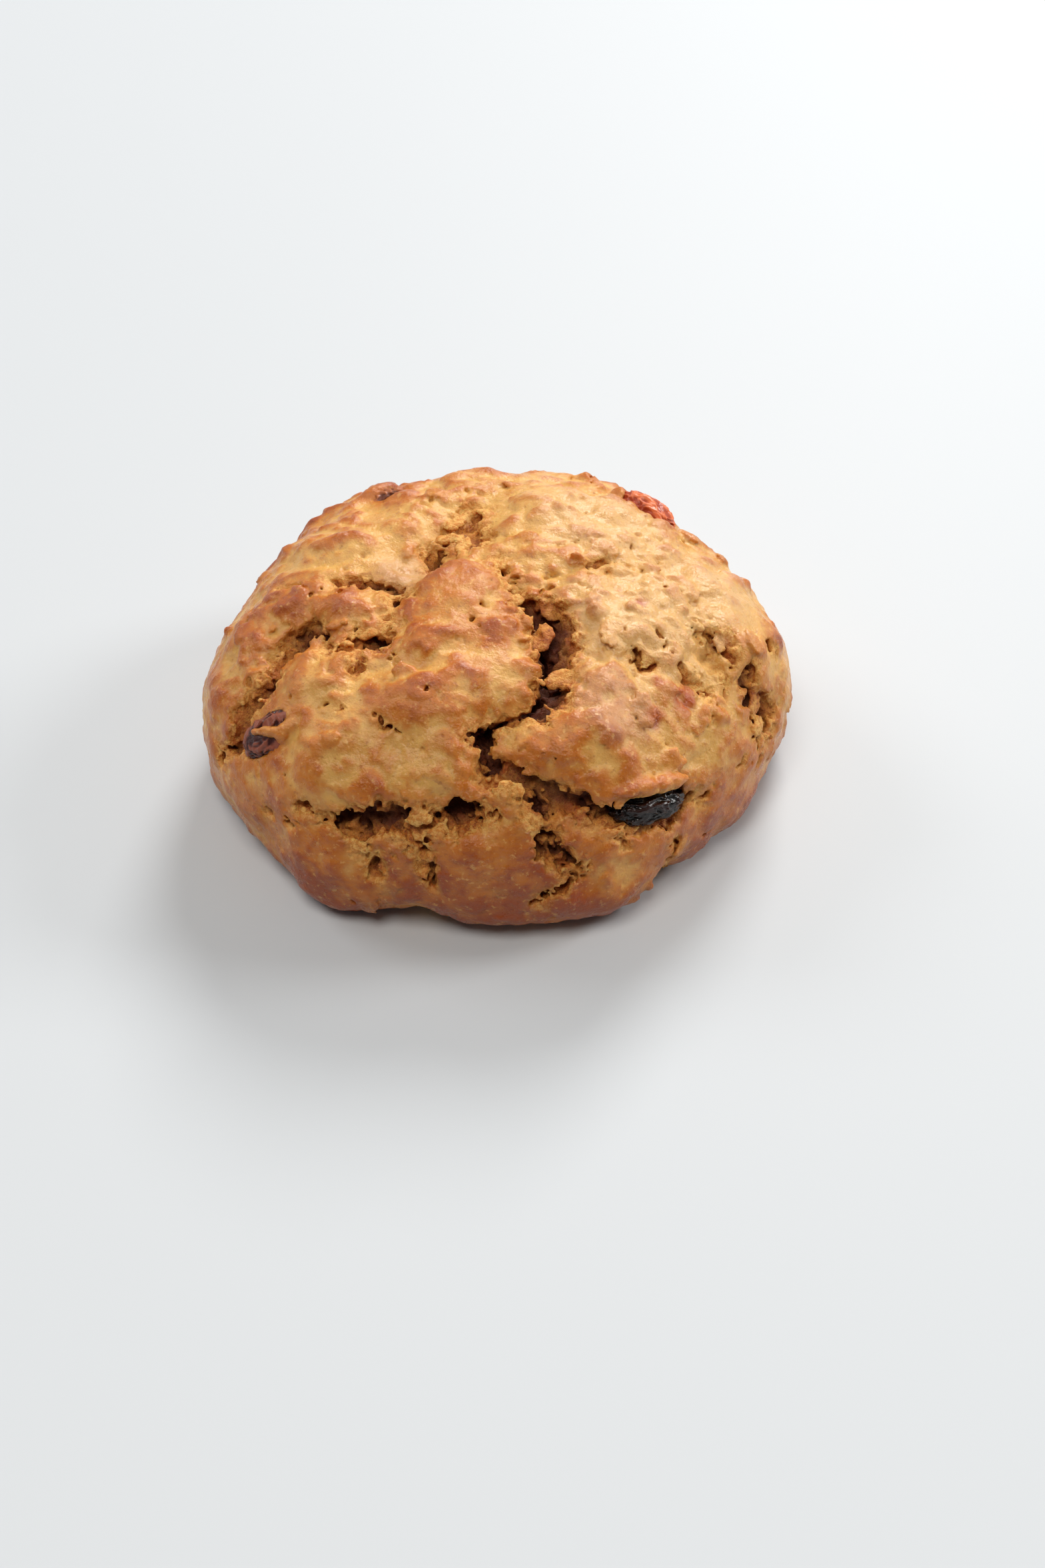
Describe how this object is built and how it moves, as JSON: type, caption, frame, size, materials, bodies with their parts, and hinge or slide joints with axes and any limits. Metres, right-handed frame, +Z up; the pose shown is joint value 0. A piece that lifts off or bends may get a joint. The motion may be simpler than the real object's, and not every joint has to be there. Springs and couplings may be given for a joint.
{
  "type": "oatmeal raisin cookie",
  "caption": "Thick, domed oatmeal raisin cookie with a golden-brown crust, open cracks, raisins at its surface and a flat foot.",
  "frame": {"origin": "on the surface that the cookie rests on, under the middle of its box", "axes": "+X along its length, +Y away from the side with the long front crack, +Z up"},
  "size_m": [0.0919, 0.0834, 0.0383],
  "materials": {
    "crust": "baked crust, golden brown, softly glossy on its crests, dull and paler in the cracks",
    "raisin_dark": "moist black-brown raisin skin, glossy, wrinkled",
    "raisin_purple": "purple-brown raisin skin, wrinkled, partly smeared with dough"
  },
  "bodies": {
    "root": {"cookie": "crust", "raisin_front": "raisin_dark", "raisin_left": "raisin_purple", "raisin_back_right": "raisin_purple", "raisin_back_left": "raisin_purple"}
  },
  "joints": []
}
